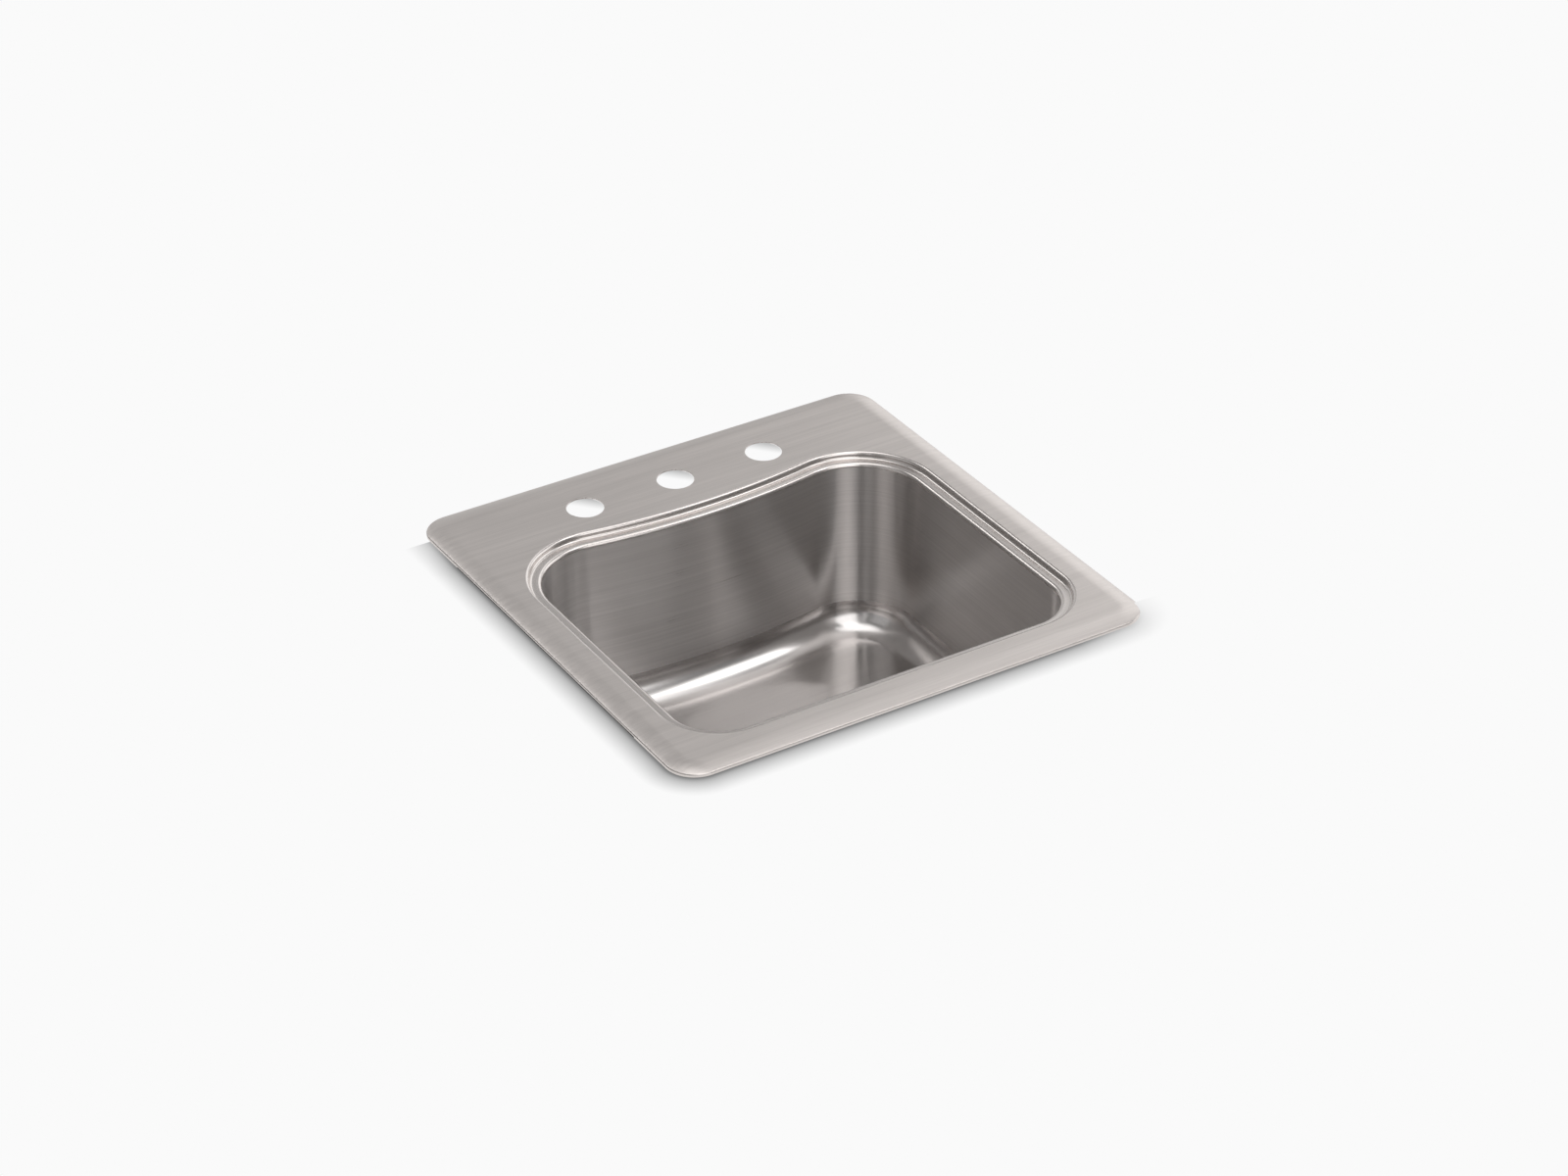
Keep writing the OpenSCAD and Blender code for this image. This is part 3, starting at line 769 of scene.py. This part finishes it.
def add_studio():
    """A white room for the camera, and softboxes in a dim one for the metal to mirror."""
    scene = bpy.context.scene
    scene.view_settings.view_transform = "Standard"
    world = bpy.data.worlds.new("studio")
    world.use_nodes = True
    tree = world.node_tree
    new, link = tree.nodes.new, tree.links.new

    def math_node(operation, *values):
        node = new("ShaderNodeMath")
        node.operation = operation
        for socket, value in zip(node.inputs, values):
            if isinstance(value, bpy.types.NodeSocket):
                link(value, socket)
            else:
                socket.default_value = value
        return node.outputs[0]

    def within(angle, half, soft, power=1.0):
        """Full power within half an angle of a box's middle, fading to none across its edge."""
        node = new("ShaderNodeMapRange")
        node.interpolation_type = "SMOOTHSTEP"
        link(angle, node.inputs["Value"])
        node.inputs["From Min"].default_value = math.radians(half - soft)
        node.inputs["From Max"].default_value = math.radians(half + soft)
        node.inputs["To Min"].default_value = power
        node.inputs["To Max"].default_value = 0.0
        return node.outputs["Result"]

    way = new("ShaderNodeSeparateXYZ")
    link(new("ShaderNodeTexCoord").outputs["Generated"], way.inputs[0])
    azimuth = math_node("ARCTAN2", way.outputs[0], math_node("MULTIPLY", way.outputs[1], -1.0))
    elevation = math_node("ARCSINE", way.outputs[2])
    total = AMBIENT
    for _, az, half_width, el, half_height, soft, power in SOFTBOXES:
        up = math_node("ABSOLUTE", math_node("SUBTRACT", elevation, math.radians(el)))
        glow = within(up, half_height, soft, power)
        if half_width < 180:
            turn = math_node("SUBTRACT", azimuth, math.radians(az))
            across = math_node("ABSOLUTE", math_node("WRAP", turn, math.pi, -math.pi))
            glow = math_node("MULTIPLY", within(across, half_width, soft), glow)
        total = math_node("ADD", glow, total)
    room = tree.nodes["Background"]
    link(total, room.inputs["Strength"])
    room.inputs["Color"].default_value = rgb(1, 1, 1)
    backdrop = new("ShaderNodeBackground")
    backdrop.inputs["Color"].default_value = rgb(1, 1, 1)
    backdrop.inputs["Strength"].default_value = WHITE
    pick = new("ShaderNodeMixShader")
    link(new("ShaderNodeLightPath").outputs["Is Camera Ray"], pick.inputs["Fac"])
    link(room.outputs[0], pick.inputs[1])
    link(backdrop.outputs[0], pick.inputs[2])
    link(pick.outputs[0], tree.nodes["World Output"].inputs["Surface"])
    scene.world = world


# The floor: how far below the object it lies, its rings, and the painted shadow in its middle
FLOOR_GAP = 0.0005
FLOOR_STEPS = 64
FLOOR_RADII = [0.02, 0.04, 0.07, 0.11, 0.16, 0.22, 0.3, 0.4, 6.0]
FLOOR_SHADOW, FLOOR_SHADOW_RADIUS = 0.26, 0.15
FLOOR_MIDDLE = 0.72


def add_floor():
    """A plain floor under the object, with a soft shadow below the drain's tailpiece."""
    low = cad_box[0].z - FLOOR_GAP
    points, shades = [(0, DRAIN.y, low)], [WHITE * FLOOR_MIDDLE]
    for r in FLOOR_RADII:
        shadow = FLOOR_SHADOW * math.exp(-((r / FLOOR_SHADOW_RADIUS) ** 2))
        for k in range(FLOOR_STEPS):
            a = 2 * math.pi * k / FLOOR_STEPS
            points.append((r * math.cos(a), DRAIN.y + r * math.sin(a), low))
            shades.append(WHITE * (1 - shadow))
    painted_mesh("stage_floor", points, disc_faces(len(FLOOR_RADII), FLOOR_STEPS), shades)


build_sink()
finish_cad_nodes()
add_camera()
add_studio()
add_floor()
add_card()
add_hole_cards()
